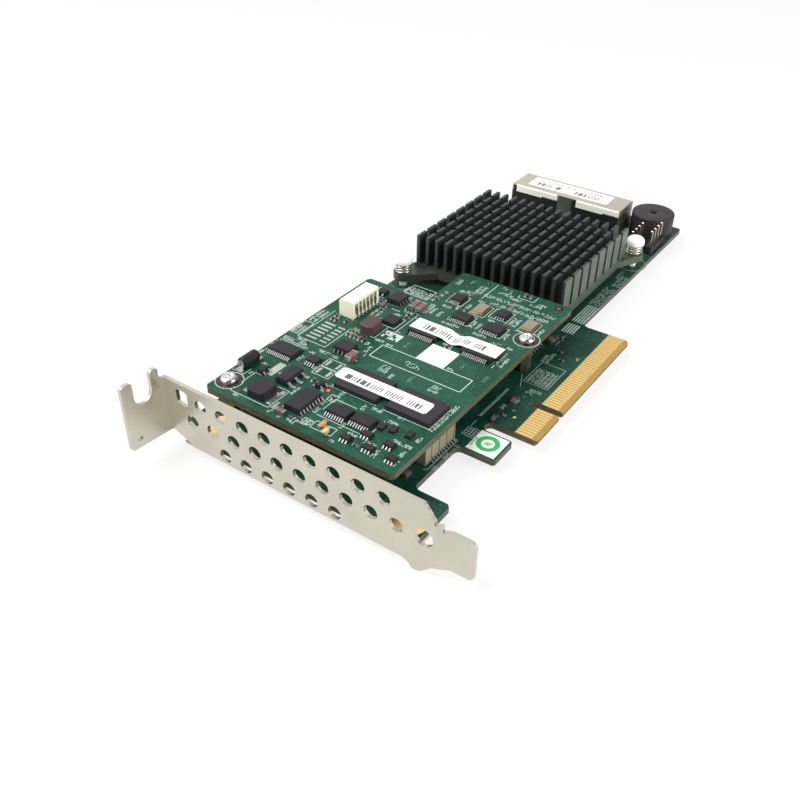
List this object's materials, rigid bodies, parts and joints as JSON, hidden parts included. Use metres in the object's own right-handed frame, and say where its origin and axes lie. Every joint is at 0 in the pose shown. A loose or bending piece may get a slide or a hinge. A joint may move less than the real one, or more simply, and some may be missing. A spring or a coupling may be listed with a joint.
{
  "type": "raid controller card",
  "caption": "Low profile storage controller card with a stacked cache board, sawn pin-fin heat sink, vented slot bracket, gold edge contacts and rear cable ports.",
  "frame": {"origin": "on the slot bracket's outer face, level with the board's underside and with the free edge of the contact tongue", "axes": "+X runs from the bracket to the rear cable ports, +Y from the contact edge to the bracket's screw tab, +Z away from the component side"},
  "size_m": [0.1808, 0.0792, 0.022],
  "materials": {
    "board_posts": "nickel plated",
    "bracket": "nickel plated, satin",
    "bracket_screws": "bright zinc",
    "cable_header": "cream moulding",
    "cache_board": "satin green solder mask over glass laminate",
    "cache_memories": "moulded resin",
    "capacitor_bodies": "brown",
    "capacitor_ends": "tinned",
    "chip_bodies": "moulded resin",
    "chip_leads_cross": "tinned",
    "chip_leads_long": "tinned",
    "choke_terminals": "tinned",
    "controller_chip": "moulded resin with metal lid",
    "diode_caps": "tinned",
    "dram_chips": "moulded resin",
    "dram_leads": "tinned",
    "drum_choke": "brown ferrite",
    "edge_contacts": "gold plated",
    "flash_chips": "moulded resin",
    "flat_label": "white, printed bars",
    "ground_pads": "gold plated",
    "header_bases": "black moulding",
    "header_contacts": "tinned",
    "header_pins": "plated pins",
    "header_tails": "plated pins",
    "heatsink": "black anodised, matte",
    "hook_label": "white with a green ring",
    "link_leads": "tinned",
    "link_plug": "beige moulding",
    "link_socket": "beige moulding",
    "lower_screws": "bright zinc",
    "main_board": "satin green solder mask over glass laminate",
    "monitor_chip": "moulded resin",
    "monitor_leads": "tinned",
    "oscillators": "gold lid on ceramic",
    "pin_springs": "bright wire",
    "port_bars": "cream moulding",
    "port_bodies": "black moulding",
    "port_cage": "nickel plated",
    "port_contacts": "gold plated",
    "port_label": "white, printed bars",
    "post_screws": "bright zinc",
    "power_choke": "moulded resin",
    "power_transistor": "moulded resin",
    "push_pins": "white nylon",
    "regulator_bodies": "moulded resin",
    "regulator_leads": "tinned",
    "round_diode": "black glaze",
    "sagging_label": "white, printed bars",
    "sounder": "black moulding",
    "sounder_legs": "tinned",
    "square_label": "white",
    "thermal_pad": "soft grey",
    "transistor_leads": "tinned"
  },
  "bodies": {
    "root": {"board_posts": "board_posts", "bracket": "bracket", "bracket_screws": "bracket_screws", "cable_header": "cable_header", "cache_board": "cache_board", "cache_memories": "cache_memories", "capacitor_bodies": "capacitor_bodies", "capacitor_ends": "capacitor_ends", "chip_bodies": "chip_bodies", "chip_leads_cross": "chip_leads_cross", "chip_leads_long": "chip_leads_long", "choke_terminals": "choke_terminals", "controller_chip": "controller_chip", "diode_caps": "diode_caps", "dram_chips": "dram_chips", "dram_leads": "dram_leads", "drum_choke": "drum_choke", "edge_contacts": "edge_contacts", "flash_chips": "flash_chips", "flat_label": "flat_label", "ground_pads": "ground_pads", "header_bases": "header_bases", "header_contacts": "header_contacts", "header_pins": "header_pins", "header_tails": "header_tails", "heatsink": "heatsink", "hook_label": "hook_label", "link_leads": "link_leads", "link_plug": "link_plug", "link_socket": "link_socket", "lower_screws": "lower_screws", "main_board": "main_board", "monitor_chip": "monitor_chip", "monitor_leads": "monitor_leads", "oscillators": "oscillators", "pin_springs": "pin_springs", "port_bars": "port_bars", "port_bodies": "port_bodies", "port_cage": "port_cage", "port_contacts": "port_contacts", "port_label": "port_label", "post_screws": "post_screws", "power_choke": "power_choke", "power_transistor": "power_transistor", "push_pins": "push_pins", "regulator_bodies": "regulator_bodies", "regulator_leads": "regulator_leads", "round_diode": "round_diode", "sagging_label": "sagging_label", "sounder": "sounder", "sounder_legs": "sounder_legs", "square_label": "square_label", "thermal_pad": "thermal_pad", "transistor_leads": "transistor_leads"}
  },
  "joints": []
}
